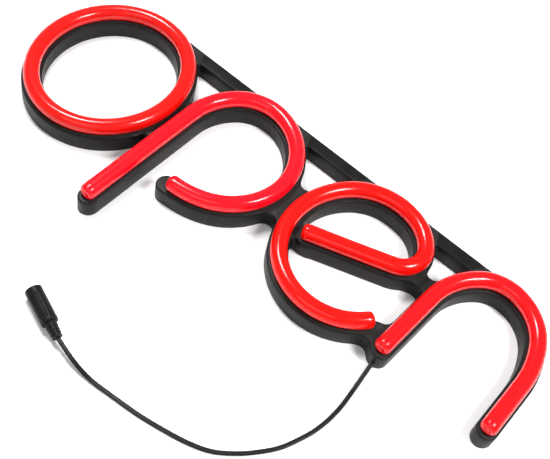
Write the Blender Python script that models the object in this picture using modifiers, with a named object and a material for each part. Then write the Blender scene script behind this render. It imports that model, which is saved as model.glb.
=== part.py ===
"""A lighted word sign: four red light tubes on a black moulded housing, lit from strips on its rear cover,
with a thin twin lead that ends in a moulded DC socket.

Sizes are millimetres. Plan places are measured from a datum at the left end of the back bar, +X along the
word and +Y towards the tops of the letters, and are moved to the sign's middle when a piece is made.
"""
import math

import bmesh
import bpy
from mathutils import Vector

MM = 0.001
GAP = 0.3
MID_X, MID_Y = 113.17, -66.743

# Housing and rear cover
HOUSING_HALF = 6.4
HOUSING_HEIGHT = 11.6
WALL = 1.6
DECK = 1.6
COVER_THICKNESS = 1.4
RIB_THICKNESS = 1.6
RIB_Z = (4.4, 9.8)
RIB_PITCH = 52.0
BAR_X = (-5.0, 262.0)
BAR_Y = (-6.8, 2.4)

# Light tubes
TUBE_R = 5.0
TUBE_WALL = 1.2
TUBE_Z = 15.6
LEG_HALF = 3.0
LEG_BOTTOM = 10.2
SLOT_HALF = 3.3
TUBE_END = 2.0
CAP_END = 5.0
CAP_FILLET = 2.2
SLOT_REACH = CAP_END - SLOT_HALF + 0.5
SPIGOT_R = 3.0
SPIGOT_LENGTH = 3.0

# Light strips
STRIP_WIDTH = 5.0
STRIP_THICKNESS = 0.4
STRIP_SETBACK = 6.0
LED_SIZE = (3.5, 2.8, 1.0)
LED_PITCH = 25.0
RESISTOR_SIZE = (2.0, 1.25, 0.8)
SEAT = 0.2
LEDS_PER_RESISTOR = 3
WIRE_R = 0.45
WIRE_DROP = 2.5
WIRE_SPACING = 8.0

# Lead and socket
CORD_R = 1.0
CORD_HOLE_R = 1.5
CORD_HOLE_LENGTH = 8.0
CORD_HOLE = (222.85, -92.2, 3.6)
CORD_REST = 1.05
CORD_SPACING = 5.0
SOCKET_R = 4.85
SOCKET_LENGTH = 22.8
SOCKET_BORE_R = 3.4
SOCKET_BORE_DEPTH = 11.5
BOOT_LENGTH = 9.0
BOOT_R = (3.5, 2.95)
BOOT_RIBS = 3
SOCKET_MOUTH = (61.74, -192.45)
SOCKET_HEADING = -19.0

ARC_STEP = 12.0
OVAL_STEPS = 32
END_STEPS = 5
TURNED_STEPS = 20
OUTER_STEPS, INNER_STEPS = 8, 6
WELD = 0.00002
COVER_Z = COVER_THICKNESS + GAP
STRIP_TOP = COVER_Z + STRIP_THICKNESS
LED_TOP = STRIP_TOP - SEAT + LED_SIZE[2]

# Each stroke's centre line: its start, its heading in degrees, and legs of (length, 0) for a straight
# run or (radius, turn) for an arc, where a positive turn is to the left.
OVAL_CENTRE, OVAL_RADII = (-20.3, -54.3), (45.9, 51.0)
STROKES = {
    "p": ((39.6, -128.7), 90.0,
          [(85.5, 0), (43.8, -42.3), (30.7, -61.6), (43.9, -66.3), (43.3, -75.1), (56.3, -19.5)]),
    "e": ((147.7, -59.1), 21.1,
          [(50.9, 0), (15.7, 103.5), (31.9, 36.3), (39.0, 66.3), (51.3, 70.6), (41.3, 112.4)]),
    "n": ((222.67, -84.6), 88.1,
          [(43.2, 0), (44.1, -46.6), (25.7, -51.0), (35.1, -56.0), (66.4, -24.2), (31.2, 0)]),
}
HOUSING_TAILS = {"p": (2.0, 6.5), "e": (0.0, 0.0), "n": (2.0, 1.5)}

# Webs that tie neighbouring strokes together, as plan outlines
WEBS = {
    "o_p": [(22.0, -73.0), (36.0, -73.0), (36.0, -37.0), (22.0, -37.0)],
    "p_e": [(109.0, -64.0), (136.0, -62.0), (136.0, -34.0), (112.0, -34.0)],
    "e_n": [(206.0, -39.0), (222.0, -39.0), (222.0, -29.0), (206.0, -29.0)],
    "tail": [(203.0, -86.0), (221.0, -88.0), (221.0, -71.0), (211.0, -74.0)],
    "crossbar": [(134.0, -66.0), (150.0, -63.0), (147.0, -56.0), (134.0, -55.0)],
}

# Hand-chosen points of the lead's route, from the n's left foot to the socket's boot
CORD_ROUTE = [
    (222.7, -87.0, 4.4), (222.9, -92.5, 3.6), (224.9, -111.0, CORD_REST), (226.1, -123.3, CORD_REST),
    (226.0, -133.8, CORD_REST), (224.9, -142.7, CORD_REST), (222.9, -150.5, CORD_REST),
    (217.7, -164.0, CORD_REST), (210.4, -174.8, CORD_REST), (202.0, -184.0, CORD_REST),
    (192.2, -191.6, CORD_REST), (180.0, -196.6, CORD_REST), (166.4, -200.1, CORD_REST),
    (152.0, -203.0, CORD_REST), (136.5, -204.9, CORD_REST), (120.2, -206.6, 1.6),
    (107.3, -206.0, 3.6),
]


def place(x, y, z=0.0):
    """A datum place in millimetres as scene metres."""
    return Vector(((x - MID_X) * MM, (y - MID_Y) * MM, z * MM))


def socket_place(distance):
    """A place on the socket's axis, at a distance from its mouth."""
    heading = math.radians(SOCKET_HEADING)
    return (SOCKET_MOUTH[0] + distance * math.cos(heading), SOCKET_MOUTH[1] + distance * math.sin(heading), SOCKET_R)


# ---------------------------------------------------------------- scene and materials
def clear_scene():
    for item in list(bpy.data.objects):
        bpy.data.objects.remove(item, do_unlink=True)


def new_collection(name, parent=None):
    collection = bpy.data.collections.new(name)
    (parent or bpy.context.scene.collection).children.link(collection)
    return collection


def hide_cutters(collection):
    for item in collection.all_objects:
        item.hide_render = True
        item.display_type = "WIRE"


def material(name, colour, roughness, metallic=0.0):
    mat = bpy.data.materials.new(name)
    mat.use_nodes = True
    shader = mat.node_tree.nodes["Principled BSDF"]
    shader.inputs["Base Color"].default_value = (*colour, 1.0)
    shader.inputs["Roughness"].default_value = roughness
    shader.inputs["Metallic"].default_value = metallic
    return mat


def add_object(name, mesh, mat, collection):
    item = bpy.data.objects.new(name, mesh)
    collection.objects.link(item)
    if mat is not None:
        mesh.materials.clear()
        mesh.materials.append(mat)
    return item


def mesh_from_curve(name, curve, mat, collection):
    """Turn a curve into a closed mesh object and drop the curve."""
    holder = bpy.data.objects.new(name + "_curve", curve)
    collection.objects.link(holder)
    bpy.context.view_layer.update()
    graph = bpy.context.evaluated_depsgraph_get()
    mesh = bpy.data.meshes.new_from_object(holder.evaluated_get(graph))
    frame = holder.matrix_world.copy()
    bpy.data.objects.remove(holder, do_unlink=True)
    body = bmesh.new()
    body.from_mesh(mesh)
    bmesh.ops.remove_doubles(body, verts=body.verts, dist=1e-6)
    bmesh.ops.recalc_face_normals(body, faces=body.faces)
    body.to_mesh(mesh)
    body.free()
    item = add_object(name, mesh, mat, collection)
    item.matrix_world = frame
    return item


def boolean(target, others, operation):
    """Join the solid with a collection of solids, or cut them all from it, in one step."""
    modifier = target.modifiers.new(others.name, "BOOLEAN")
    modifier.operation = operation
    modifier.solver = "MANIFOLD"
    modifier.operand_type = "COLLECTION"
    modifier.collection = others


def weld(target):
    modifier = target.modifiers.new("weld", "WELD")
    modifier.merge_threshold = WELD


# ---------------------------------------------------------------- centre lines and outlines
def walk(start, heading, legs):
    """Stations (x, y, heading in radians) along straight legs and arcs."""
    x, y = start
    angle = math.radians(heading)
    line = [(x, y, angle)]
    for size, turn in legs:
        if turn == 0:
            x, y = x + size * math.cos(angle), y + size * math.sin(angle)
            line.append((x, y, angle))
            continue
        steps = math.ceil(abs(turn) / ARC_STEP)
        step = math.radians(turn) / steps
        radius = math.copysign(size, turn)
        for _ in range(steps):
            x += radius * (math.sin(angle + step) - math.sin(angle))
            y -= radius * (math.cos(angle + step) - math.cos(angle))
            angle += step
            line.append((x, y, angle))
    return line


def oval():
    line = []
    for i in range(OVAL_STEPS):
        t = 2 * math.pi * i / OVAL_STEPS
        x = OVAL_CENTRE[0] + OVAL_RADII[0] * math.cos(t)
        y = OVAL_CENTRE[1] + OVAL_RADII[1] * math.sin(t)
        line.append((x, y, math.atan2(OVAL_RADII[1] * math.cos(t), -OVAL_RADII[0] * math.sin(t))))
    return line


def side(station, offset):
    """The point at an offset to the left of a station."""
    x, y, angle = station
    return (x - offset * math.sin(angle), y + offset * math.cos(angle))


def ahead(station, distance):
    x, y, angle = station
    return (x + distance * math.cos(angle), y + distance * math.sin(angle), angle)


def lengthened(line, start, end):
    """The same line with straight runs added at its ends."""
    before = [ahead(line[0], -start)] if start else []
    after = [ahead(line[-1], end)] if end else []
    return before + line + after


def round_end(station, half, direction):
    """Points of a half circle around a line's end, from one side to the other."""
    x, y, angle = station
    arc = []
    for i in range(1, END_STEPS):
        a = angle + direction * math.pi / 2 - math.pi * i / END_STEPS
        arc.append((x + half * math.cos(a), y + half * math.sin(a)))
    return arc


def stroke_outline(line, half):
    left = [side(s, half) for s in line]
    right = [side(s, -half) for s in reversed(line)]
    return left + round_end(line[-1], half, 1) + right + round_end(line[0], half, -1)


def along(line, closed):
    """Cumulative length at each station."""
    points = line + line[:1] if closed else line
    total = [0.0]
    for a, b in zip(points, points[1:]):
        total.append(total[-1] + math.hypot(b[0] - a[0], b[1] - a[1]))
    return points, total


def station_at(line, closed, distance):
    points, total = along(line, closed)
    for i in range(len(points) - 1):
        if distance <= total[i + 1]:
            break
    a, b = points[i], points[i + 1]
    f = (distance - total[i]) / (total[i + 1] - total[i])
    angle = math.atan2(b[1] - a[1], b[0] - a[0])
    return (a[0] + (b[0] - a[0]) * f, a[1] + (b[1] - a[1]) * f, angle)


# ---------------------------------------------------------------- solids
def slab(name, outlines, low, high, mat, collection):
    """A flat solid between two heights from closed plan outlines; an inner outline is a hole."""
    curve = bpy.data.curves.new(name, "CURVE")
    curve.dimensions = "2D"
    curve.fill_mode = "BOTH"
    curve.extrude = (high - low) / 2 * MM
    for outline in outlines:
        spline = curve.splines.new("POLY")
        spline.points.add(len(outline) - 1)
        for point, (x, y) in zip(spline.points, outline):
            point.co = (*place(x, y), 1.0)
        spline.use_cyclic_u = True
    item = mesh_from_curve(name, curve, mat, collection)
    item.location.z = (low + high) / 2 * MM
    return item


def oval_slab(name, half, low, high, mat, collection):
    rings = [[side(s, half) for s in oval()], [side(s, -half) for s in oval()]]
    return slab(name, rings, low, high, mat, collection)


def stroke_slab(name, line, half, low, high, mat, collection):
    return slab(name, [stroke_outline(line, half)], low, high, mat, collection)


def rectangle(x_range, y_range):
    (x0, x1), (y0, y1) = x_range, y_range
    return [(x0, y0), (x1, y0), (x1, y1), (x0, y1)]


def box_into(body, centre, size, angle):
    """Add a box, turned about Z, to a bmesh."""
    made = bmesh.ops.create_cube(body, size=1.0)
    for vert in made["verts"]:
        x, y, z = (c * s * MM for c, s in zip(vert.co, size))
        turned = Vector((x * math.cos(angle) - y * math.sin(angle), x * math.sin(angle) + y * math.cos(angle), z))
        vert.co = turned + centre


def boxes(name, stations, size, low, mat, collection):
    """A group of equal boxes that stand on one height, one at each station."""
    body = bmesh.new()
    for x, y, angle in stations:
        box_into(body, place(x, y, low + size[2] / 2), size, angle)
    mesh = bpy.data.meshes.new(name)
    body.to_mesh(mesh)
    body.free()
    return add_object(name, mesh, mat, collection)


def turned(name, profile, mat, collection, steps=TURNED_STEPS):
    """A solid of revolution about its own Z from (radius, height) pairs, top to bottom on the outside."""
    mesh = bpy.data.meshes.new(name)
    ring = profile[0] == profile[-1]
    points = [(radius * MM, 0.0, height * MM) for radius, height in (profile[:-1] if ring else profile)]
    edges = [(i, (i + 1) % len(points)) for i in range(len(profile) - 1)]
    mesh.from_pydata(points, edges, [])
    item = add_object(name, mesh, mat, collection)
    screw = item.modifiers.new("turn", "SCREW")
    screw.steps = screw.render_steps = steps
    screw.use_merge_vertices = True
    screw.merge_threshold = 1e-6
    screw.use_smooth_shade = True
    return item


def lay_along(item, place_mm, heading, tilt=0.0):
    """Point a turned piece's Z along a plan heading."""
    direction = Vector((math.cos(heading) * math.cos(tilt), math.sin(heading) * math.cos(tilt), math.sin(tilt)))
    item.rotation_mode = "QUATERNION"
    item.rotation_quaternion = direction.to_track_quat("Z", "Y")
    item.location = place(*place_mm)


def tube(name, points, radius, mat, collection, resolution=2):
    """A round wire or lead through millimetre points, with filled caps."""
    curve = bpy.data.curves.new(name, "CURVE")
    curve.dimensions = "3D"
    curve.bevel_depth = radius * MM
    curve.bevel_resolution = resolution
    curve.use_fill_caps = True
    spline = curve.splines.new("POLY")
    spline.points.add(len(points) - 1)
    for point, xyz in zip(spline.points, points):
        point.co = (*place(*xyz), 1.0)
    return mesh_from_curve(name, curve, mat, collection)


def smooth_route(points, spacing, lowest):
    """Evenly spaced points, none under a height, on a Catmull-Rom curve through hand-chosen points."""
    vectors = [Vector(p) for p in points]
    ends = [2 * vectors[0] - vectors[1]] + vectors + [2 * vectors[-1] - vectors[-2]]
    dense = []
    for a, b, c, d in zip(ends, ends[1:], ends[2:], ends[3:]):
        for i in range(20):
            t = i / 20
            dense.append(0.5 * (2 * b + (c - a) * t + (2 * a - 5 * b + 4 * c - d) * t * t
                                + (3 * b - a - 3 * c + d) * t ** 3))
    dense.append(vectors[-1])
    length = sum((q - p).length for p, q in zip(dense, dense[1:]))
    step = length / round(length / spacing)
    route, run = [dense[0]], 0.0
    for p, q in zip(dense, dense[1:]):
        run += (q - p).length
        while run >= step and len(route) < round(length / step):
            run -= step
            route.append(q - (q - p).normalized() * run)
    route.append(dense[-1])
    return [(p.x, p.y, max(p.z, lowest)) for p in route]


# ---------------------------------------------------------------- sub-parts
def make_housing(mat, parts, cutters):
    """One black moulding: four channel strokes, the back bar and the webs, open at the rear."""
    housing = slab("housing", [rectangle(BAR_X, BAR_Y)], 0.0, HOUSING_HEIGHT, mat, parts)
    bodies = new_collection("housing_bodies", cutters)
    oval_slab("body_o", HOUSING_HALF, 0.0, HOUSING_HEIGHT, None, bodies)
    for letter, stroke in STROKES.items():
        line = lengthened(walk(*stroke), *HOUSING_TAILS[letter])
        stroke_slab("body_" + letter, line, HOUSING_HALF, 0.0, HOUSING_HEIGHT, None, bodies)
    for name, outline in WEBS.items():
        slab("web_" + name, [outline], 0.0, HOUSING_HEIGHT, None, bodies)
    boolean(housing, bodies, "UNION")

    ceiling = HOUSING_HEIGHT - DECK
    hollows = new_collection("housing_hollows", cutters)
    bar_inside = [(BAR_X[0] + WALL, BAR_X[1] - WALL), (BAR_Y[0] + WALL, BAR_Y[1] - WALL)]
    slab("hollow_bar", [rectangle(*bar_inside)], -1.0, ceiling, None, hollows)
    oval_slab("hollow_o", HOUSING_HALF - WALL, -1.0, ceiling, None, hollows)
    oval_slab("slot_o", SLOT_HALF, ceiling - 1.0, HOUSING_HEIGHT + 1.0, None, hollows)
    for letter, stroke in STROKES.items():
        line = walk(*stroke)
        inside = lengthened(line, *HOUSING_TAILS[letter])
        slot = lengthened(line, SLOT_REACH, SLOT_REACH)
        stroke_slab("hollow_" + letter, inside, HOUSING_HALF - WALL, -1.0, ceiling, None, hollows)
        stroke_slab("slot_" + letter, slot, SLOT_HALF, ceiling - 1.0, HOUSING_HEIGHT + 1.0, None, hollows)
    make_cord_hole(hollows)
    boolean(housing, hollows, "DIFFERENCE")

    ribs = new_collection("housing_ribs", cutters)
    make_ribs(ribs)
    boolean(housing, ribs, "UNION")
    weld(housing)


def make_cord_hole(collection):
    """The round hole through the n's left foot where the lead leaves."""
    bpy.ops.mesh.primitive_cylinder_add(vertices=12, radius=CORD_HOLE_R * MM, depth=CORD_HOLE_LENGTH * MM)
    hole = bpy.context.active_object
    hole.name = "cord_hole"
    hole.location = place(*CORD_HOLE)
    hole.rotation_euler = (math.radians(90.0), 0.0, 0.0)
    for home in hole.users_collection:
        home.objects.unlink(hole)
    collection.objects.link(hole)


def make_ribs(collection):
    """Cross walls that tie the two sides of each channel together under its light tube."""
    places = []
    for line, closed in [(oval(), True)] + [(walk(*stroke), False) for stroke in STROKES.values()]:
        _, total = along(line, closed)
        count = round(total[-1] / RIB_PITCH)
        places += [station_at(line, closed, (i + 0.5) * total[-1] / count) for i in range(count)]
    across = 2 * (HOUSING_HALF - WALL) + WALL
    low, high = RIB_Z
    boxes("ribs", places, (RIB_THICKNESS, across, high - low), low, None, collection)


def make_rear_cover(mat, parts, cutters):
    """The flat closing plate, level with the housing's rear rim."""
    half = HOUSING_HALF - WALL - GAP
    inside = WALL + GAP
    outline = rectangle((BAR_X[0] + inside, BAR_X[1] - inside), (BAR_Y[0] + inside, BAR_Y[1] - inside))
    cover = slab("rear_cover", [outline], 0.0, COVER_THICKNESS, mat, parts)
    bodies = new_collection("cover_bodies", cutters)
    oval_slab("cover_o", half, 0.0, COVER_THICKNESS, None, bodies)
    for letter, stroke in STROKES.items():
        line = lengthened(walk(*stroke), *HOUSING_TAILS[letter])
        stroke_slab("cover_" + letter, line, half, 0.0, COVER_THICKNESS, None, bodies)
    boolean(cover, bodies, "UNION")
    weld(cover)


def tube_section():
    """Section of a light tube: a round wall, open below, with two legs."""
    reach = math.asin(LEG_HALF / TUBE_R)
    outer = [(TUBE_R * math.sin(a), TUBE_R * -math.cos(a))
             for a in (reach + (2 * math.pi - 2 * reach) * i / OUTER_STEPS for i in range(OUTER_STEPS + 1))]
    inner_r, leg_inner = TUBE_R - TUBE_WALL, LEG_HALF - TUBE_WALL
    turn = math.asin(leg_inner / inner_r)
    inner = [(-inner_r * math.sin(a), inner_r * -math.cos(a))
             for a in (turn + (2 * math.pi - 2 * turn) * i / INNER_STEPS for i in range(INNER_STEPS + 1))]
    leg = LEG_BOTTOM - TUBE_Z
    return outer + [(-LEG_HALF, leg), (-leg_inner, leg)] + inner + [(leg_inner, leg), (LEG_HALF, leg)]


def make_light_tube(name, line, closed, mat, parts):
    """Sweep the tube's section along a centre line."""
    section = bpy.data.curves.new(name + "_section", "CURVE")
    section.dimensions = "2D"
    spline = section.splines.new("POLY")
    shape = tube_section()
    spline.points.add(len(shape) - 1)
    for point, (x, z) in zip(spline.points, shape):
        point.co = (x * MM, z * MM, 0.0, 1.0)
    spline.use_cyclic_u = True
    guide = bpy.data.objects.new(name + "_section", section)
    parts.objects.link(guide)

    curve = bpy.data.curves.new(name, "CURVE")
    curve.dimensions = "3D"
    curve.twist_mode = "Z_UP"
    curve.bevel_mode = "OBJECT"
    curve.bevel_object = guide
    curve.use_fill_caps = True
    path = curve.splines.new("POLY")
    path.points.add(len(line) - 1)
    for point, (x, y, _) in zip(path.points, line):
        point.co = (*place(x, y, TUBE_Z), 1.0)
    path.use_cyclic_u = closed
    item = mesh_from_curve(name, curve, mat, parts)
    bpy.data.objects.remove(guide, do_unlink=True)
    item.data.shade_smooth()
    item.data.set_sharp_from_angle(angle=math.radians(40.0))


def make_end_cap(name, station, mat, parts):
    """A rounded plug with a spigot in the tube's bore; the station points out of the tube."""
    start = TUBE_END + GAP
    steps = 3
    centre = CAP_END - CAP_FILLET
    curve = []
    for i in range(steps + 1):
        a = math.pi / 2 * (1 - i / steps)
        curve.append((TUBE_R - CAP_FILLET + CAP_FILLET * math.cos(a), centre + CAP_FILLET * math.sin(a)))
    profile = [(0.0, CAP_END)] + curve
    profile += [(TUBE_R, start), (SPIGOT_R, start), (SPIGOT_R, start - SPIGOT_LENGTH), (0.0, start - SPIGOT_LENGTH)]
    cap = turned(name, profile, mat, parts, steps=12)
    lay_along(cap, (station[0], station[1], TUBE_Z), station[2])


def make_strip(letter, line, closed, mat, parts, cutters):
    """A flexible light strip on the rear cover, with its lamps and resistors soldered to it."""
    _, total = along(line, closed)
    half = STRIP_WIDTH / 2
    if closed:
        rings = [[side(s, half) for s in line], [side(s, -half) for s in line]]
    else:
        rings = [[side(s, half) for s in line] + [side(s, -half) for s in reversed(line)]]
    strip = slab("led_strip_" + letter, rings, COVER_Z, STRIP_TOP, mat, parts)
    count = round(total[-1] / LED_PITCH)
    pitch = total[-1] / count
    lamps = [station_at(line, closed, (i + 0.5) * pitch) for i in range(count)]
    between = [station_at(line, closed, i * pitch) for i in range(1, count, LEDS_PER_RESISTOR)]
    soldered = new_collection("soldered_" + letter, cutters)
    boxes("lamps_" + letter, lamps, LED_SIZE, STRIP_TOP - SEAT, None, soldered)
    boxes("resistors_" + letter, between, RESISTOR_SIZE, STRIP_TOP - SEAT, None, soldered)
    boolean(strip, soldered, "UNION")


def make_jumpers(mat, parts):
    """Link wires that carry the supply from strip to strip inside the back bar."""
    runs = {"o_p": (2.0, 68.0), "p_e": (78.0, 166.0), "e_n": (180.0, 252.0)}
    bar_y = (BAR_Y[0] + BAR_Y[1]) / 2
    level = LED_TOP + GAP + WIRE_R
    for name, (start, end) in runs.items():
        route = [(start, bar_y - WIRE_DROP, level), (start + WIRE_DROP, bar_y, level),
                 (end - WIRE_DROP, bar_y, level), (end, bar_y - WIRE_DROP, level)]
        tube("link_wire_" + name, smooth_route(route, WIRE_SPACING, level), WIRE_R, mat, parts, resolution=1)


def make_socket(mats, parts):
    """The moulded line socket: body, contact sleeve, pin, insulator and ribbed boot, on one axis."""
    deep = SOCKET_BORE_DEPTH
    body = turned("socket_body", [
        (0.0, SOCKET_LENGTH), (SOCKET_R - 0.5, SOCKET_LENGTH), (SOCKET_R, SOCKET_LENGTH - 0.5),
        (SOCKET_R, 0.4), (SOCKET_R - 0.4, 0.0), (SOCKET_BORE_R, 0.0), (SOCKET_BORE_R, deep), (0.0, deep),
    ], mats["socket"], parts)
    sleeve_r = SOCKET_BORE_R - GAP
    sleeve = turned("socket_sleeve", [
        (sleeve_r - 0.3, deep - GAP), (sleeve_r, deep - GAP), (sleeve_r, 0.8), (sleeve_r - 0.3, 0.8),
        (sleeve_r - 0.3, deep - GAP),
    ], mats["contact"], parts)
    disc_r = sleeve_r - 0.3 - GAP
    disc = turned("socket_insulator", [
        (0.0, deep - GAP), (disc_r, deep - GAP), (disc_r, deep - 1.8), (0.0, deep - 1.8),
    ], mats["insulator"], parts)
    pin = turned("socket_pin", [
        (0.0, deep - 1.8 - GAP), (1.0, deep - 1.8 - GAP), (1.0, 1.6), (0.6, 1.2), (0.0, 1.2),
    ], mats["contact"], parts, steps=12)
    rib = BOOT_LENGTH / (2 * BOOT_RIBS + 1)
    profile = [(0.0, BOOT_LENGTH)]
    for i in range(2 * BOOT_RIBS + 1):
        high = BOOT_LENGTH - i * rib
        taper = BOOT_R[0] + (BOOT_R[1] - BOOT_R[0]) * (high - rib / 2) / BOOT_LENGTH
        radius = taper - 0.5 * (i % 2)
        profile += [(radius, high), (radius, high - rib)]
    profile.append((0.0, 0.0))
    boot = turned("socket_boot", profile, mats["socket"], parts, steps=12)
    heading = math.radians(SOCKET_HEADING)
    for piece in (body, sleeve, disc, pin):
        lay_along(piece, socket_place(0.0), heading)
    lay_along(boot, socket_place(SOCKET_LENGTH + GAP), heading)


def make_cord(mats, parts):
    """The lead from its anchor inside the n's foot to the boot, and the anchor that holds it."""
    boot_face = socket_place(SOCKET_LENGTH + BOOT_LENGTH + 2 * GAP)
    tube("cord", smooth_route(CORD_ROUTE + [boot_face], CORD_SPACING, CORD_REST), CORD_R, mats["cord"], parts)
    boxes("cord_anchor", [(222.65, -84.4, math.radians(90.0))], (4.6, 5.0, 3.2), 3.6, mats["anchor"], parts)


def main():
    clear_scene()
    parts = new_collection("lighted_word_sign")
    cutters = new_collection("cutters")
    mats = {
        "housing": material("black_moulding", (0.022, 0.022, 0.023), 0.42),
        "cover": material("black_cover", (0.03, 0.03, 0.031), 0.55),
        "tube": material("red_light_tube", (0.93, 0.02, 0.018), 0.12),
        "cap": material("red_end_cap", (0.93, 0.02, 0.018), 0.15),
        "strip": material("strip_film", (0.85, 0.84, 0.78), 0.5),
        "wire": material("link_wire", (0.6, 0.03, 0.03), 0.4),
        "socket": material("black_socket", (0.02, 0.02, 0.021), 0.38),
        "contact": material("nickel_contact", (0.7, 0.68, 0.64), 0.25, 1.0),
        "insulator": material("socket_insulator", (0.05, 0.05, 0.05), 0.5),
        "cord": material("black_lead", (0.018, 0.018, 0.019), 0.35),
        "anchor": material("cord_anchor", (0.75, 0.73, 0.68), 0.5),
    }
    make_housing(mats["housing"], parts, cutters)
    make_rear_cover(mats["cover"], parts, cutters)

    make_light_tube("light_tube_o", oval(), True, mats["tube"], parts)
    make_strip("o", oval(), True, mats["strip"], parts, cutters)
    for letter, stroke in STROKES.items():
        line = walk(*stroke)
        make_light_tube("light_tube_" + letter, lengthened(line, TUBE_END, TUBE_END), False, mats["tube"], parts)
        first = (line[0][0], line[0][1], line[0][2] + math.pi)
        make_end_cap("end_cap_" + letter + "_start", first, mats["cap"], parts)
        make_end_cap("end_cap_" + letter + "_end", line[-1], mats["cap"], parts)
        lit = [ahead(line[0], STRIP_SETBACK)] + line[1:] if letter == "n" else line
        make_strip(letter, lit, False, mats["strip"], parts, cutters)
    make_jumpers(mats["wire"], parts)
    make_socket(mats, parts)
    make_cord(mats, parts)
    hide_cutters(cutters)


main()
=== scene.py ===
import math
import bmesh
import bpy
import numpy as np
from mathutils import Matrix, Vector, geometry


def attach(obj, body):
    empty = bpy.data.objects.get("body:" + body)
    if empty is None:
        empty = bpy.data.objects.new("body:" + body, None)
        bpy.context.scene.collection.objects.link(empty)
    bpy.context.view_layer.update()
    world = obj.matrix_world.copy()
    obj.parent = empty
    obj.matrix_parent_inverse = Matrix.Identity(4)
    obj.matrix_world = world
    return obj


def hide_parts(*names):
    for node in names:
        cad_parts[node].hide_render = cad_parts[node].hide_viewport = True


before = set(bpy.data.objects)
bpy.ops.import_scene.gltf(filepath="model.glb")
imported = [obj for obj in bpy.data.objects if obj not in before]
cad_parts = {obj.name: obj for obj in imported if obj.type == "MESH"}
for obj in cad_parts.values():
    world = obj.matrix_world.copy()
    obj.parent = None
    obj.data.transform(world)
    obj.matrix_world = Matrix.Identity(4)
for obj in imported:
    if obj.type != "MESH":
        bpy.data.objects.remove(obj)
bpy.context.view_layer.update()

# Sizes are millimetres. Plan places are measured from a datum at the left end of the back bar, +X along
# the word and +Y towards the letters' tops; MID is the sign's middle in that plan.
MM = 0.001
MID = np.array([113.17, -66.743])

HOUSING_HALF, HOUSING_HEIGHT = 6.4, 11.6
WALL, COVER_GAP, COVER_THICKNESS = 1.6, 0.3, 1.4
COVER_SEAT = COVER_THICKNESS + 1.0
COVER_ROUND = 0.25
BAR_X, BAR_Y = (-5.0, 262.0), (-6.8, 2.4)
RIM_ROUND, FOOT_ROUND = 1.1, 0.3
FILLET = 4.5
SLOT_HALF, SLOT_FLOOR, SLOT_BEVEL = 3.3, 9.0, 0.2
TUBE_R, TUBE_Z, TUBE_SIDES = 5.0, 15.6, 40
TUBE_END, TUBE_DRAW_IN = 2.0, 0.12
CAP_END, CAP_FILLET, CAP_SIDES = 5.0, 2.8, 32
SLOT_REACH = CAP_END - SLOT_HALF + 0.5

# The plan grid that the housing's outline is found on, and the spacing of points along outlines.
GRID_ORIGIN, GRID_COUNT, CELL = (-80.0, -145.0), (770, 304), 0.5
REACH = 16.0
SPACING = 0.8
FEWEST_POINTS = 12
TINY = 1e-12

# Each stroke's centre line: its start, its heading in degrees, and legs of (length, 0) for a straight
# run or (radius, turn) for an arc, where a positive turn is to the left.
OVAL_CENTRE, OVAL_RADII = (-20.3, -54.3), (45.9, 51.0)
STROKES = {
    "p": ((39.6, -128.7), 90.0,
          [(85.5, 0), (43.8, -42.3), (30.7, -61.6), (43.9, -66.3), (43.3, -75.1), (56.3, -19.5)]),
    "e": ((147.7, -59.1), 21.1,
          [(50.9, 0), (15.7, 103.5), (31.9, 36.3), (39.0, 66.3), (51.3, 70.6), (41.3, 112.4)]),
    "n": ((222.67, -84.6), 88.1,
          [(43.2, 0), (44.1, -46.6), (25.7, -51.0), (35.1, -56.0), (66.4, -24.2), (31.2, 0)]),
}
# How far the housing runs on past each end of a stroke's tube line
HOUSING_TAILS = {"p": (2.0, 6.5), "e": (0.0, 0.0), "n": (2.0, 1.5)}
WEBS = [
    [(22.0, -73.0), (36.0, -73.0), (36.0, -37.0), (22.0, -37.0)],
    [(109.0, -64.0), (136.0, -62.0), (136.0, -34.0), (112.0, -34.0)],
    [(206.0, -39.0), (222.0, -39.0), (222.0, -29.0), (206.0, -29.0)],
    [(203.0, -86.0), (221.0, -88.0), (221.0, -71.0), (211.0, -74.0)],
    [(134.0, -66.0), (150.0, -63.0), (147.0, -56.0), (134.0, -55.0)],
]

# The lead: its section, the height of its middle where it lies, and points along it
CORD_WIDTH, CORD_THICKNESS, CORD_SPACING = 2.6, 1.4, 1.6
CORD_REST, CORD_CLEAR, CORD_LIFT = 1.05, 0.05, 1.5
CORE_STEPS, ROUTE_STEPS, EXIT_POINT = 10, 20, 2
CORD_ROUTE = [
    (222.7, -87.0, 4.4), (222.9, -92.5, 3.6), (224.9, -111.0, CORD_REST), (226.1, -123.3, CORD_REST),
    (226.0, -133.8, CORD_REST), (224.9, -142.7, CORD_REST), (222.9, -150.5, CORD_REST),
    (217.7, -164.0, CORD_REST), (210.4, -174.8, CORD_REST), (202.0, -184.0, CORD_REST),
    (192.2, -191.6, CORD_REST), (180.0, -196.6, CORD_REST), (166.4, -200.1, CORD_REST),
    (152.0, -203.0, CORD_REST), (136.5, -204.9, CORD_REST), (120.2, -206.6, 1.6),
    (107.3, -206.0, 3.6),
]

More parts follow.
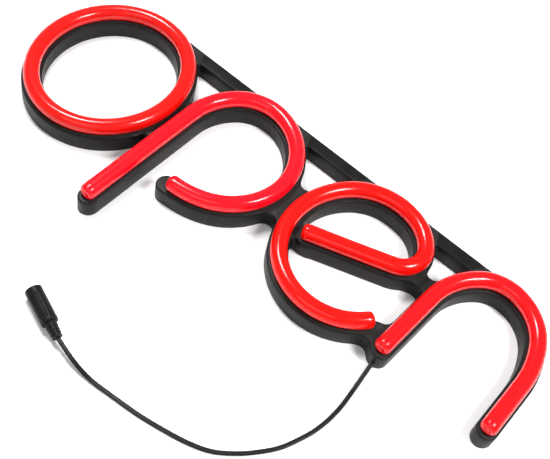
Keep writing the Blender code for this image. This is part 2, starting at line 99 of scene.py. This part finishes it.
# The socket and its boot
SOCKET_MOUTH, SOCKET_HEADING = (61.74, -192.45), math.radians(-19.0)
SOCKET_R, SOCKET_LENGTH, SOCKET_SIDES, GAP = 4.85, 22.8, 96, 0.3
SOCKET_BORE_R, SOCKET_BORE_DEPTH, MOUTH_BEVEL = 3.4, 11.5, 0.3
SOCKET_ROUNDS = {"mouth": (0.45, 4), "back": (0.9, 6)}
SOCKET_STEPS = 60
PANEL_ANGLE, PANEL_EDGE, PANEL_DEPTH = math.radians(62.0), 0.86, 0.38
PANEL_RAMP, PANEL_SOFT, PANEL_ENDS = 0.5, 0.05, (4.0, 2.6)
BOOT_LENGTH, BOOT_SIDES, BOOT_STEPS = 9.0, 48, 90
BOOT_RADII, BOOT_CORE_R, BOOT_EXIT_R = (3.5, 2.95), 2.6, 1.3
BOOT_RIBS, BOOT_GROOVE, GROOVE_EDGE, GROOVE_SLOPE = 4, 0.42, 0.62, 5.0

# Camera: what it looks at, then azimuth, elevation and roll in degrees, and its distance in metres
VIEW_TARGET, VIEW_ANGLES, VIEW_DISTANCE = (131.51, -72.18, 15.6), (27.42, 54.8, 15.8), 0.5712
LENS, SENSOR_WIDTH, CLIP_START = 64.8, 36.0, 0.01

# Floor, sky and lamps: each lamp's direction, distance and size in metres, and power in watts
FLOOR_HALF, FLOOR_DROP = 1.6, 0.0001
FLOOR_COLOUR, FLOOR_ROUGHNESS, FLOOR_GLOSS = (0.93, 0.922, 0.922), 0.7, 0.15
SKY_STRENGTH = 0.42
LAMPS = {
    "back_right": ((0.6, 0.12, 0.8), 0.95, (0.24, 0.24), 8.5),
    "left": ((-0.46, 0.14, 0.87), 0.95, (0.24, 0.24), 8.0),
    "front": ((0.1, -1.0, 1.1), 1.3, (0.9, 0.5), 2.5),
}

# Moulded plastics: dark and light tint, roughness range, grain scale, grain strength, painted edge-highlight
# tint, gloss
PLASTICS = {
    "lead_sheath": ((0.005, 0.005, 0.005), (0.01, 0.01, 0.01), (0.25, 0.4), 2500.0, 0.15, None, 0.2),
    "socket_moulding": ((0.005, 0.005, 0.005), (0.01, 0.01, 0.01), (0.36, 0.5), 3000.0, 0.2,
                        (0.04, 0.04, 0.04), 0.13),
    "housing_moulding": ((0.003, 0.003, 0.0028), (0.007, 0.007, 0.0065), (0.34, 0.5), 2200.0, 0.25,
                         (0.035, 0.035, 0.035), 0.13),
    "cover_sheet": ((0.02, 0.02, 0.021), (0.03, 0.03, 0.031), (0.5, 0.65), 1800.0, 0.3, None, 0.13),
    "strip_film": ((0.75, 0.74, 0.68), (0.86, 0.85, 0.8), (0.35, 0.5), 900.0, 0.1, None, 0.13),
    "wire_sheath": ((0.45, 0.02, 0.02), (0.6, 0.03, 0.03), (0.3, 0.4), 1500.0, 0.1, None, 0.13),
    "hot_melt": ((0.6, 0.57, 0.48), (0.75, 0.73, 0.66), (0.3, 0.5), 700.0, 0.2, None, 0.13),
}
REDS = {
    "o": (0.66, 0.005, 0.003),
    "p": (0.84, 0.003, 0.012),
    "e": (0.78, 0.003, 0.001),
    "n": (0.76, 0.003, 0.006),
}
# The first value is a painted reflection: pale red blended into the tubes' colour where they turn away from
# the camera; the second darkens the clouded tone.
RED_PAINTED_SHEEN, RED_DEPTH = (0.95, 0.12, 0.1), 0.86
NICKEL = (0.72, 0.7, 0.66)


def place(x, y, z=0.0):
    """A place from the datum, in metres from the middle of the sign's rear."""
    return Vector(((x - MID[0]) * MM, (y - MID[1]) * MM, z * MM))


def socket_place(distance):
    """A place on the socket's axis, at a distance behind its mouth."""
    x = SOCKET_MOUTH[0] + distance * math.cos(SOCKET_HEADING)
    y = SOCKET_MOUTH[1] + distance * math.sin(SOCKET_HEADING)
    return (x, y, SOCKET_R)


# ---------------------------------------------------------------- camera, stage and light
def make_camera():
    """The camera, turned about its own axis by the roll, and its distance from the target."""
    target = place(*VIEW_TARGET)
    az, el, ro = (math.radians(a) for a in VIEW_ANGLES)
    level = Vector((-math.sin(az), math.cos(az), 0.0))
    across = Vector((math.cos(az), math.sin(az), 0.0))
    up = Vector((0.0, 0.0, 1.0))
    forward = math.cos(el) * level - math.sin(el) * up
    top = math.sin(el) * level + math.cos(el) * up
    right = math.cos(ro) * across + math.sin(ro) * top
    top = -math.sin(ro) * across + math.cos(ro) * top
    data = bpy.data.cameras.new("camera")
    data.lens, data.sensor_width = LENS, SENSOR_WIDTH
    data.clip_start = CLIP_START
    camera = bpy.data.objects.new("camera", data)
    bpy.context.scene.collection.objects.link(camera)
    turn = Matrix((right, top, -forward)).transposed().to_4x4()
    camera.matrix_world = Matrix.Translation(target - forward * VIEW_DISTANCE) @ turn
    bpy.context.scene.camera = camera


def area_light(name, direction, distance, size, power):
    """A rectangular lamp at a distance in metres, turned to face the middle of the stage."""
    data = bpy.data.lights.new(name, "AREA")
    data.shape = "RECTANGLE"
    data.size, data.size_y = size
    data.energy = power
    light = bpy.data.objects.new(name, data)
    bpy.context.scene.collection.objects.link(light)
    aim = Vector(direction).normalized()
    light.location = aim * distance
    light.rotation_mode = "QUATERNION"
    light.rotation_quaternion = aim.to_track_quat("Z", "Y")


def make_stage():
    """A plain pale floor, a white sky and three lamps."""
    mesh = bpy.data.meshes.new("floor")
    body = bmesh.new()
    bmesh.ops.create_grid(body, x_segments=8, y_segments=8, size=FLOOR_HALF)
    body.to_mesh(mesh)
    body.free()
    floor = bpy.data.objects.new("floor", mesh)
    bpy.context.scene.collection.objects.link(floor)
    floor.location.z = -FLOOR_DROP
    mat = bpy.data.materials.new("pale_floor")
    mat.use_nodes = True
    shader = mat.node_tree.nodes["Principled BSDF"]
    shader.inputs["Base Color"].default_value = (*FLOOR_COLOUR, 1.0)
    shader.inputs["Roughness"].default_value = FLOOR_ROUGHNESS
    shader.inputs["Specular IOR Level"].default_value = FLOOR_GLOSS
    mesh.materials.append(mat)
    world = bpy.data.worlds.new("studio")
    world.use_nodes = True
    sky = world.node_tree.nodes["Background"].inputs
    sky["Color"].default_value = (1.0, 1.0, 1.0, 1.0)
    sky["Strength"].default_value = SKY_STRENGTH
    bpy.context.scene.world = world
    bpy.context.scene.view_settings.view_transform = "Standard"
    for name, lamp in LAMPS.items():
        area_light(name, *lamp)


# ---------------------------------------------------------------- materials
def new_material(name):
    """A new node material, with its nodes, links and surface shader."""
    mat = bpy.data.materials.new(name)
    mat.use_nodes = True
    return mat, mat.node_tree.nodes, mat.node_tree.links, mat.node_tree.nodes["Principled BSDF"]


def noise(nodes, links, coords, scale, detail=3.0, roughness=0.55):
    """Fractal noise from 0 to 1; the scale is in cells per metre."""
    node = nodes.new("ShaderNodeTexNoise")
    node.inputs["Scale"].default_value = scale
    node.inputs["Detail"].default_value = detail
    node.inputs["Roughness"].default_value = roughness
    links.new(coords, node.inputs["Vector"])
    return node.outputs["Fac"]


def remap(nodes, links, value, source, target):
    """A value's source range stretched to the target range."""
    node = nodes.new("ShaderNodeMapRange")
    for key, number in zip(("From Min", "From Max", "To Min", "To Max"), source + target):
        node.inputs[key].default_value = number
    links.new(value, node.inputs["Value"])
    return node.outputs["Result"]


def blend_colour(nodes, links, factor, first, second):
    """Mix of two colours, each a tuple or another node's output."""
    node = nodes.new("ShaderNodeMix")
    node.data_type = "RGBA"
    for key, colour in ((6, first), (7, second)):
        if isinstance(colour, tuple):
            node.inputs[key].default_value = (*colour, 1.0)
        else:
            links.new(colour, node.inputs[key])
    links.new(factor, node.inputs[0])
    return node.outputs[2]


def add_relief(nodes, links, shader, height, strength, depth):
    """Bump from a height value, with a depth in metres."""
    relief = nodes.new("ShaderNodeBump")
    relief.inputs["Strength"].default_value = strength
    relief.inputs["Distance"].default_value = depth
    links.new(height, relief.inputs["Height"])
    links.new(relief.outputs["Normal"], shader.inputs["Normal"])


def plastic(name):
    """Moulded plastic: clouded colour, uneven gloss, a fine grain and, if it has one, a painted highlight: a
    paler tint on sharp edges where the rim catches the lamps.
    """
    dark, light, rough, grain, bump, painted_edge_highlight, gloss = PLASTICS[name]
    mat, nodes, links, shader = new_material(name)
    coords = nodes.new("ShaderNodeTexCoord").outputs["Object"]
    cloud = noise(nodes, links, coords, 90.0, 4.0)
    fine = noise(nodes, links, coords, grain, 4.0, 0.65)
    patches = remap(nodes, links, cloud, (0.35, 0.65), (0.0, 1.0))
    colour = blend_colour(nodes, links, patches, dark, light)
    if painted_edge_highlight:
        # Painted highlight: sharp edges are tinted paler, standing in for the lamps' glint on the rounded
        # rims.
        edge = nodes.new("ShaderNodeNewGeometry").outputs["Pointiness"]
        painted_highlight_mask = remap(nodes, links, edge, (0.51, 0.58), (0.0, 0.6))
        colour = blend_colour(nodes, links, painted_highlight_mask, colour, painted_edge_highlight)
    links.new(colour, shader.inputs["Base Color"])
    links.new(remap(nodes, links, fine, (0.3, 0.7), rough), shader.inputs["Roughness"])
    add_relief(nodes, links, shader, fine, bump, 0.0001)
    shader.inputs["Specular IOR Level"].default_value = gloss
    return mat


def red_tube(name, bright):
    """Glossy translucent red: clouded depth, a painted reflection that turns the colour paler where the
    surface turns away, a faint painted glow, faint waviness.
    """
    mat, nodes, links, shader = new_material(name)
    coords = nodes.new("ShaderNodeTexCoord").outputs["Object"]
    cloud = noise(nodes, links, coords, 140.0, 3.0)
    speck = noise(nodes, links, coords, 1400.0, 2.0)
    deep = tuple(RED_DEPTH * c for c in bright)
    body = blend_colour(nodes, links, remap(nodes, links, cloud, (0.3, 0.7), (0.0, 1.0)), deep, bright)
    # Painted reflection: the colour turns pale towards the tube's edges, standing in for the sheen of light
    # glancing off them.
    rim = nodes.new("ShaderNodeLayerWeight")
    rim.inputs["Blend"].default_value = 0.18
    painted_sheen_mask = remap(nodes, links, rim.outputs["Facing"], (0.45, 1.0), (0.0, 0.75))
    links.new(blend_colour(nodes, links, painted_sheen_mask, body, RED_PAINTED_SHEEN), shader.inputs["Base Color"])
    links.new(remap(nodes, links, speck, (0.3, 0.7), (0.13, 0.2)), shader.inputs["Roughness"])
    add_relief(nodes, links, shader, cloud, 0.12, 0.0002)
    # Painted glow: the tube's own colour is emitted faintly, standing in for lamplight passing through the
    # translucent red; the tube is no lamp.
    links.new(body, shader.inputs["Emission Color"])
    shader.inputs["Emission Strength"].default_value = 0.12
    shader.inputs["Subsurface Weight"].default_value = 0.25
    shader.inputs["Subsurface Radius"].default_value = (1.0, 0.15, 0.1)
    shader.inputs["Subsurface Scale"].default_value = 0.002
    shader.inputs["Specular IOR Level"].default_value = 0.34
    return mat


def metal(name, colour):
    """Plated metal with an uneven polish."""
    mat, nodes, links, shader = new_material(name)
    coords = nodes.new("ShaderNodeTexCoord").outputs["Object"]
    tone = noise(nodes, links, coords, 600.0)
    shade = blend_colour(nodes, links, tone, tuple(0.8 * c for c in colour), colour)
    links.new(shade, shader.inputs["Base Color"])
    links.new(remap(nodes, links, tone, (0.3, 0.7), (0.18, 0.34)), shader.inputs["Roughness"])
    shader.inputs["Metallic"].default_value = 1.0
    return mat


# ---------------------------------------------------------------- centre lines
def walk(start, heading, legs):
    """Stations (x, y, heading) about SPACING apart along straight legs and arcs."""
    x, y = start
    angle = math.radians(heading)
    line = [(x, y, angle)]
    for size, turn in legs:
        length = size * (math.radians(abs(turn)) if turn else 1.0)
        steps = math.ceil(length / SPACING)
        for _ in range(steps):
            if turn:
                step = math.radians(turn) / steps
                radius = math.copysign(size, turn)
                x += radius * (math.sin(angle + step) - math.sin(angle))
                y -= radius * (math.cos(angle + step) - math.cos(angle))
                angle += step
            else:
                x += length / steps * math.cos(angle)
                y += length / steps * math.sin(angle)
            line.append((x, y, angle))
    return line


def oval():
    """Stations (x, y, heading) around the o, evenly spaced in turn."""
    line = []
    steps = round(2 * math.pi * sum(OVAL_RADII) / 2 / SPACING)
    for i in range(steps):
        t = 2 * math.pi * i / steps
        x = OVAL_CENTRE[0] + OVAL_RADII[0] * math.cos(t)
        y = OVAL_CENTRE[1] + OVAL_RADII[1] * math.sin(t)
        line.append((x, y, math.atan2(OVAL_RADII[1] * math.cos(t), -OVAL_RADII[0] * math.sin(t))))
    return line


def ahead(station, distance):
    """A station moved straight along its heading."""
    x, y, angle = station
    return (x + distance * math.cos(angle), y + distance * math.sin(angle), angle)


def run_on(line, start, end):
    """The line with straight runs, in small steps, added at its ends."""
    before = [ahead(line[0], -start + SPACING * i) for i in range(int(start / SPACING) + 1) if start]
    after = [ahead(line[-1], end - SPACING * i) for i in reversed(range(int(end / SPACING) + 1)) if end]
    return before + line + after


# ---------------------------------------------------------------- plan fields and their contours
class Plan:
    """A square grid over the sign's plan, holding distances in millimetres."""

    def __init__(self):
        self.origin = np.array(GRID_ORIGIN)
        self.nx, self.ny = GRID_COUNT
        self.x = self.origin[0] + CELL * np.arange(self.nx)
        self.y = self.origin[1] + CELL * np.arange(self.ny)

    def to_line(self, line):
        """Distance to a centre line, up to REACH."""
        field = np.full((self.nx, self.ny), REACH)
        width = int(2 * REACH / CELL) + 2
        for px, py, _ in line:
            i0 = max(int((px - REACH - self.origin[0]) / CELL), 0)
            j0 = max(int((py - REACH - self.origin[1]) / CELL), 0)
            i1, j1 = i0 + width, j0 + width
            near = np.hypot(self.x[i0:i1, None] - px, self.y[None, j0:j1] - py)
            window = field[i0:i1, j0:j1]
            np.minimum(window, near, out=window)
        return field

    def to_outline(self, points):
        """Signed distance to a convex outline, from its edges' half planes."""
        centre = np.mean(points, axis=0)
        field = np.full((self.nx, self.ny), -np.inf)
        for (ax, ay), (bx, by) in zip(points, points[1:] + points[:1]):
            normal = np.array([by - ay, ax - bx]) / math.hypot(bx - ax, by - ay)
            if normal @ (centre - (ax, ay)) > 0:
                normal = -normal
            side = (self.x[:, None] - ax) * normal[0] + (self.y[None, :] - ay) * normal[1]
            field = np.maximum(field, side)
        return field


def join(first, second, fillet):
    """Union of two distance fields with a fillet where they meet."""
    h = np.clip(0.5 + 0.5 * (second - first) / fillet, 0.0, 1.0)
    return second * (1 - h) + first * h - fillet * h * (1 - h)


def crossing(field, a, b):
    """Where a field is zero between two neighbouring grid points."""
    fa, fb = field[a], field[b]
    t = fa / (fa - fb)
    return (a[0] + (b[0] - a[0]) * t, a[1] + (b[1] - a[1]) * t)


def contours(plan, field):
    """Closed loops where a field is zero, evenly spaced, with the negative side on their left."""
    inside = field < 0
    count = (inside[:-1, :-1].astype(int) + inside[1:, :-1] + inside[1:, 1:] + inside[:-1, 1:])
    links, where = {}, {}
    for i, j in np.argwhere((count > 0) & (count < 4)):
        corners = [(i, j), (i + 1, j), (i + 1, j + 1), (i, j + 1)]
        cuts = []
        for k in range(4):
            a, b = corners[k], corners[(k + 1) % 4]
            if inside[a] != inside[b]:
                key = (min(a, b), max(a, b))
                where[key] = crossing(field, a, b)
                cuts.append((key, inside[a]))
        starts = [key for key, leaves in cuts if leaves]
        ends = [key for key, leaves in cuts if not leaves]
        for a, b in zip(starts, ends):
            links[a] = b
    loops = []
    while links:
        key, nxt = links.popitem()
        loop = [key]
        while nxt in links:
            loop.append(nxt)
            nxt = links.pop(nxt)
        points = plan.origin + CELL * np.array([where[k] for k in loop])
        loops.append(even(points))
    return [loop for loop in loops if len(loop) > FEWEST_POINTS]


def even(points):
    """Space a closed loop's points evenly and take out the grid's small steps."""
    closed = np.vstack([points, points[:1]])
    run = np.concatenate([[0.0], np.cumsum(np.hypot(*np.diff(closed, axis=0).T))])
    count = max(int(run[-1] / SPACING), FEWEST_POINTS)
    at = np.arange(count) * run[-1] / count
    loop = np.stack([np.interp(at, run, closed[:, k]) for k in (0, 1)], axis=1)
    for _ in range(2):
        loop = 0.5 * loop + 0.25 * (np.roll(loop, 1, axis=0) + np.roll(loop, -1, axis=0))
    return loop


def outward(loop):
    """Unit normals that point away from the solid on a loop's left."""
    tangent = np.roll(loop, -1, axis=0) - np.roll(loop, 1, axis=0)
    tangent /= np.hypot(*tangent.T)[:, None]
    return np.stack([tangent[:, 1], -tangent[:, 0]], axis=1)


# ---------------------------------------------------------------- mesh helpers
def finish_mesh(name, body, mat, smooth_angle=35.0):
    """A named object from a mesh, smooth apart from its sharp edges, that rides the body."""
    bmesh.ops.recalc_face_normals(body, faces=body.faces)
    mesh = bpy.data.meshes.new(name)
    body.to_mesh(mesh)
    body.free()
    mesh.shade_smooth()
    mesh.set_sharp_from_angle(angle=math.radians(smooth_angle))
    mesh.materials.append(mat)
    piece = bpy.data.objects.new(name, mesh)
    bpy.context.scene.collection.objects.link(piece)
    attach(piece, "root")
    return piece


def bridge(body, first, second):
    """Faces between two closed rings of the same length."""
    count = len(first)
    for i in range(count):
        k = (i + 1) % count
        body.faces.new((first[i], first[k], second[k], second[i]))


def sweep(body, rings, closed=False):
    """Faces along a row of rings, with a flat face at each end if it isn't closed."""
    for a, b in zip(rings, rings[1:] + (rings[:1] if closed else [])):
        bridge(body, a, b)
    if not closed:
        body.faces.new(rings[0])
        body.faces.new(rings[-1])


def enclosed(points, starts, ends):
    """Which points lie inside closed loops, by counting the edges to their right."""
    result = np.zeros(len(points), dtype=bool)
    span = ends[:, 1] - starts[:, 1]
    span = np.where(span == 0.0, TINY, span)
    for i, (x, y) in enumerate(points):
        spans = (starts[:, 1] > y) != (ends[:, 1] > y)
        at = starts[:, 0] + (y - starts[:, 1]) / span * (ends[:, 0] - starts[:, 0])
        result[i] = np.count_nonzero(spans & (at > x)) % 2
    return result


def fill(body, rings):
    """Triangles inside outer rings and outside their holes, all at one height."""
    every = [v for ring in rings for v in ring]
    edges, start = [], 0
    for ring in rings:
        count = len(ring)
        edges += [(start + i, start + (i + 1) % count) for i in range(count)]
        start += count
    flat = np.array([(v.co.x / MM, v.co.y / MM) for v in every])
    cut = geometry.delaunay_2d_cdt([Vector(p) for p in flat], edges, [], 0, 1e-5)
    source = cut[3]
    triangles = [[source[i][0] for i in face] for face in cut[2] if all(source[i] for i in face)]
    order = np.array(edges)
    kept = enclosed(flat[np.array(triangles)].mean(axis=1), flat[order[:, 0]], flat[order[:, 1]])
    for triangle, keep in zip(triangles, kept):
        if keep and len(set(triangle)) == 3:
            body.faces.new([every[i] for i in triangle])


def raise_walls(body, loops, profile):
    """Sweep (inset, height) steps around every loop; gives the first and last rings."""
    firsts, lasts = [], []
    for loop in loops:
        normal = outward(loop)
        rings = [[body.verts.new(place(x, y, height)) for x, y in loop - normal * inset]
                 for inset, height in profile]
        for a, b in zip(rings, rings[1:]):
            bridge(body, a, b)
        firsts.append(rings[0])
        lasts.append(rings[-1])
    return firsts, lasts


def quarter(radius, steps=5):
    """(inset, drop) steps of a rounded edge, from the wall to the top."""
    turns = [math.pi / 2 * i / steps for i in range(steps + 1)]
    return [(radius * (1 - math.cos(a)), radius * (1 - math.sin(a))) for a in turns]


def make_housing(plan, body_field, hollow_field, slot_field, mat):
    """Channel housing: rounded rim, flat shelf with the light slots, and its open rear."""
    body = bmesh.new()
    foot = list(reversed(quarter(FOOT_ROUND, 2)))
    rim = [(inset, HOUSING_HEIGHT - drop) for inset, drop in quarter(RIM_ROUND)]
    slot = [(0.0, SLOT_FLOOR), (0.0, HOUSING_HEIGHT - SLOT_BEVEL), (-SLOT_BEVEL, HOUSING_HEIGHT)]
    rears, shelves = raise_walls(body, contours(plan, body_field), foot + rim)
    slots, slot_tops = raise_walls(body, contours(plan, -slot_field), slot)
    fill(body, shelves + slot_tops)
    fill(body, slots)
    hollows, ceilings = raise_walls(body, contours(plan, -hollow_field), [(0.0, 0.0), (0.0, COVER_SEAT)])
    fill(body, rears + hollows)
    fill(body, ceilings)
    piece = finish_mesh("housing_shell", body, mat)
    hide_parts("housing")


def make_cover(plan, field, mat):
    """Rear plate with softened edges."""
    body = bmesh.new()
    edge = list(reversed(quarter(COVER_ROUND, 2)))
    top = [(inset, COVER_THICKNESS - drop) for inset, drop in quarter(COVER_ROUND, 2)]
    rears, fronts = raise_walls(body, contours(plan, field), edge + top)
    fill(body, rears)
    fill(body, fronts)
    piece = finish_mesh("rear_plate", body, mat)
    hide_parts("rear_cover")


def ring(body, centre, across, radius, sides):
    """A circle of vertices about a centre, in the plane of a level direction and the vertical."""
    turns = [2 * math.pi * i / sides for i in range(sides)]
    up = Vector((0.0, 0.0, 1.0))
    size = radius * MM
    return [body.verts.new(centre + across * (size * math.cos(a)) + up * (size * math.sin(a))) for a in turns]


def make_light_tube(letter, line, closed, mat):
    """A round tube along its line, slightly drawn in at its two ends where the caps sit."""
    body = bmesh.new()
    rings = []
    for i, (x, y, angle) in enumerate(line):
        at_end = not closed and i in (0, len(line) - 1)
        radius = TUBE_R - (TUBE_DRAW_IN if at_end else 0.0)
        across = Vector((math.sin(angle), -math.cos(angle), 0.0))
        rings.append(ring(body, place(x, y, TUBE_Z), across, radius, TUBE_SIDES))
    sweep(body, rings, closed)
    piece = finish_mesh("glow_tube_" + letter, body, mat)
    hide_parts("light_tube_" + letter)


def cap_profile():
    """(radius, distance) pairs of an end plug, with a shallow moulded ring and a centre dimple."""
    flat = TUBE_R - CAP_FILLET
    profile = [(TUBE_R - TUBE_DRAW_IN, TUBE_END + 0.05), (TUBE_R, TUBE_END + 0.25)]
    for i in range(8):
        a = math.pi / 14 * i
        profile.append((flat + CAP_FILLET * math.cos(a), CAP_END - CAP_FILLET + CAP_FILLET * math.sin(a)))
    for radius, depth in ((flat - 0.35, 0.28), (flat - 0.8, 0.3), (0.7, 0.1), (0.25, 0.32)):
        profile.append((radius, CAP_END - depth))
    return profile


def make_cap(name, station, mat):
    """A rounded end plug that faces along a station's heading."""
    x, y, angle = station
    forward = Vector((math.cos(angle), math.sin(angle), 0.0))
    across = Vector((math.sin(angle), -math.cos(angle), 0.0))
    body = bmesh.new()
    sweep(body, [ring(body, place(x, y, TUBE_Z) + forward * (distance * MM), across, radius, CAP_SIDES)
                 for radius, distance in cap_profile()])
    piece = finish_mesh("tube_" + name, body, mat, 50.0)
    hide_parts(name)


# ---------------------------------------------------------------- lead and socket
def smooth_route(points, spacing):
    """Evenly spaced points on a smooth curve through the given points, and its length."""
    vectors = [Vector(p) for p in points]
    ends = [2 * vectors[0] - vectors[1]] + vectors + [2 * vectors[-1] - vectors[-2]]
    dense = []
    for a, b, c, d in zip(ends, ends[1:], ends[2:], ends[3:]):
        for i in range(ROUTE_STEPS):
            t = i / ROUTE_STEPS
            dense.append(0.5 * (2 * b + (c - a) * t + (2 * a - 5 * b + 4 * c - d) * t * t
                                + (3 * b - a - 3 * c + d) * t ** 3))
    dense.append(vectors[-1])
    length = sum((q - p).length for p, q in zip(dense, dense[1:]))
    step = length / round(length / spacing)
    route, run = [dense[0]], 0.0
    for p, q in zip(dense, dense[1:]):
        run += (q - p).length
        while run >= step and len(route) < round(length / step):
            run -= step
            route.append(q - (q - p).normalized() * run)
    route.append(dense[-1])
    return [Vector((p.x, p.y, max(p.z, CORD_REST))) for p in route], length


def twin_section():
    """Outline of a flat twin lead: two round cores joined by a web with a groove on each face."""
    core = CORD_THICKNESS / 2
    centre = CORD_WIDTH / 2 - core
    lean = math.asin(min(0.45 * centre / core, 0.95))
    outline = []
    for side in (1, -1):
        for i in range(CORE_STEPS + 1):
            a = -math.pi / 2 - lean + (math.pi + 2 * lean) * i / CORE_STEPS
            outline.append((side * (centre + core * math.cos(a)), side * core * math.sin(a)))
    return outline


def make_cord(mat):
    """The twin lead, which lies flat wherever its route is at rest height."""
    boot_face = socket_place(SOCKET_LENGTH + BOOT_LENGTH + 2 * GAP)
    route, length = smooth_route(CORD_ROUTE + [boot_face], CORD_SPACING)
    section = twin_section()
    drop = Vector((0.0, 0.0, (CORD_THICKNESS / 2 + CORD_CLEAR - CORD_REST) * MM))
    body = bmesh.new()
    rings = []
    path = [place(*p) for p in route]
    for i, p in enumerate(path):
        along = (path[min(i + 1, len(path) - 1)] - path[max(i - 1, 0)]).normalized()
        across = along.cross(Vector((0.0, 0.0, 1.0))).normalized()
        up = across.cross(along)
        low = max(0.0, 1.0 - max(0.0, route[i].z - CORD_REST) / CORD_LIFT)
        rings.append([body.verts.new(p + drop * low + across * (u * MM) + up * (v * MM)) for u, v in section])
    sweep(body, rings)
    piece = finish_mesh("twin_lead", body, mat, 60.0)
    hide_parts("cord")
    return piece, path, length * MM


def turned(name, profile, base, mat, sides, relief=None):
    """A solid of revolution about the socket's axis from (radius, distance) pairs."""
    across = Vector((math.sin(SOCKET_HEADING), -math.cos(SOCKET_HEADING), 0.0))
    up = Vector((0.0, 0.0, 1.0))
    body = bmesh.new()
    rings = []
    for radius, distance in profile:
        centre = place(*socket_place(base + distance))
        around = []
        for i in range(sides):
            a = 2 * math.pi * i / sides
            depth = relief(a, distance, radius) if relief else radius
            around.append(body.verts.new(centre + (across * math.cos(a) + up * math.sin(a)) * depth * MM))
        rings.append(around)
    sweep(body, rings)
    return finish_mesh(name, body, mat, 40.0)


def side_panel(angle, distance, radius):
    """Radius with two long shallow panels, one on each side of the socket's body."""
    if radius < SOCKET_R - 0.6:
        return radius
    facing = abs(math.cos(angle - PANEL_ANGLE))
    inside = min(max((facing - PANEL_EDGE) / PANEL_SOFT, 0.0), 1.0)
    past_front = max((distance - PANEL_ENDS[0]) / PANEL_RAMP, 0.0)
    before_back = max((SOCKET_LENGTH - PANEL_ENDS[1] - distance) / PANEL_RAMP, 0.0)
    return radius - PANEL_DEPTH * inside * min(past_front, before_back, 1.0)


def socket_profile():
    """(radius, distance) pairs from the bottom of the bore, over the mouth and along the body."""
    mouth = [(SOCKET_R - inset, drop) for inset, drop in reversed(quarter(*SOCKET_ROUNDS["mouth"]))]
    back = [(SOCKET_R - inset, SOCKET_LENGTH - drop) for inset, drop in quarter(*SOCKET_ROUNDS["back"])]
    along = [(SOCKET_R, SOCKET_LENGTH * i / SOCKET_STEPS) for i in range(2, SOCKET_STEPS - 1)]
    bore = [(SOCKET_BORE_R, SOCKET_BORE_DEPTH), (SOCKET_BORE_R, MOUTH_BEVEL)]
    return bore + [(SOCKET_BORE_R + MOUTH_BEVEL, 0.0)] + mouth + along + back


def boot_profile():
    """(radius, distance) pairs of a tapering boot with grooves between its ribs."""
    profile = [(BOOT_CORE_R, 0.0)]
    for i in range(BOOT_STEPS + 1):
        d = BOOT_LENGTH * i / BOOT_STEPS
        taper = BOOT_RADII[0] + (BOOT_RADII[1] - BOOT_RADII[0]) * d / BOOT_LENGTH
        wave = 0.5 - 0.5 * math.cos(2 * math.pi * (d / BOOT_LENGTH * BOOT_RIBS + 0.5))
        groove = min(1.0, max(0.0, (GROOVE_EDGE - wave) * GROOVE_SLOPE))
        profile.append((taper - BOOT_GROOVE * groove, d))
    return profile + [(BOOT_EXIT_R, BOOT_LENGTH)]


def make_socket(mat):
    """The line socket's body and its ribbed boot."""
    body = turned("socket_shell", socket_profile(), 0.0, mat, SOCKET_SIDES, side_panel)
    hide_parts("socket_body")
    boot = turned("ribbed_boot", boot_profile(), SOCKET_LENGTH + GAP, mat, BOOT_SIDES)
    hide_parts("socket_boot")
    return [body, boot]


def repaint(mats):
    """Give CAD nodes their materials."""
    for node, mat in mats.items():
        slots = bpy.data.objects[node].data.materials
        slots.clear()
        slots.append(mat)


def housing_fields(plan, tube_lines):
    """Plan fields of the housing's outside, its hollow and its light slots."""
    strokes = [plan.to_line(oval())]
    strokes += [plan.to_line(run_on(line, *HOUSING_TAILS[letter])) for letter, line in tube_lines.items()]
    (left, right), (low, high) = BAR_X, BAR_Y
    bar = plan.to_outline([(left, low), (right, low), (right, high), (left, high)])
    outside = bar
    for field in strokes:
        outside = join(outside, field - HOUSING_HALF, FILLET)
    for web in WEBS:
        outside = join(outside, plan.to_outline(web), FILLET)
    hollow = np.minimum(np.minimum.reduce(strokes) - (HOUSING_HALF - WALL), bar + WALL)
    slots = [strokes[0]]
    slots += [plan.to_line(run_on(line, SLOT_REACH, SLOT_REACH)) for line in tube_lines.values()]
    return outside, hollow, np.minimum.reduce(slots) - SLOT_HALF


make_camera()
lead, lead_path, lead_length = make_cord(plastic("lead_sheath"))
socket_black = plastic("socket_moulding")
socket_pieces = make_socket(socket_black)
socket_pieces += [bpy.data.objects[node] for node in ("socket_pin", "socket_sleeve", "socket_insulator")]
make_stage()

grid = Plan()
lines = {letter: walk(*stroke) for letter, stroke in STROKES.items()}
shell, inside, slots = housing_fields(grid, lines)
make_housing(grid, shell, inside, slots, plastic("housing_moulding"))
make_cover(grid, inside + COVER_GAP, plastic("cover_sheet"))

tube_mats = {letter: red_tube("red_tube_" + letter, colour) for letter, colour in REDS.items()}
make_light_tube("o", oval(), True, tube_mats["o"])
for letter, line in lines.items():
    make_light_tube(letter, run_on(line, TUBE_END, TUBE_END), False, tube_mats[letter])
    start = (line[0][0], line[0][1], line[0][2] + math.pi)
    make_cap("end_cap_" + letter + "_start", start, tube_mats[letter])
    make_cap("end_cap_" + letter + "_end", line[-1], tube_mats[letter])

strip, wire, glue = plastic("strip_film"), plastic("wire_sheath"), plastic("hot_melt")
nickel = metal("nickel_plate", NICKEL)
repaint({"led_strip_" + letter: strip for letter in REDS})
repaint({"link_wire_" + pair: wire for pair in ("o_p", "p_e", "e_n")})
repaint({"cord_anchor": glue, "socket_pin": nickel, "socket_sleeve": nickel,
         "socket_insulator": socket_black})
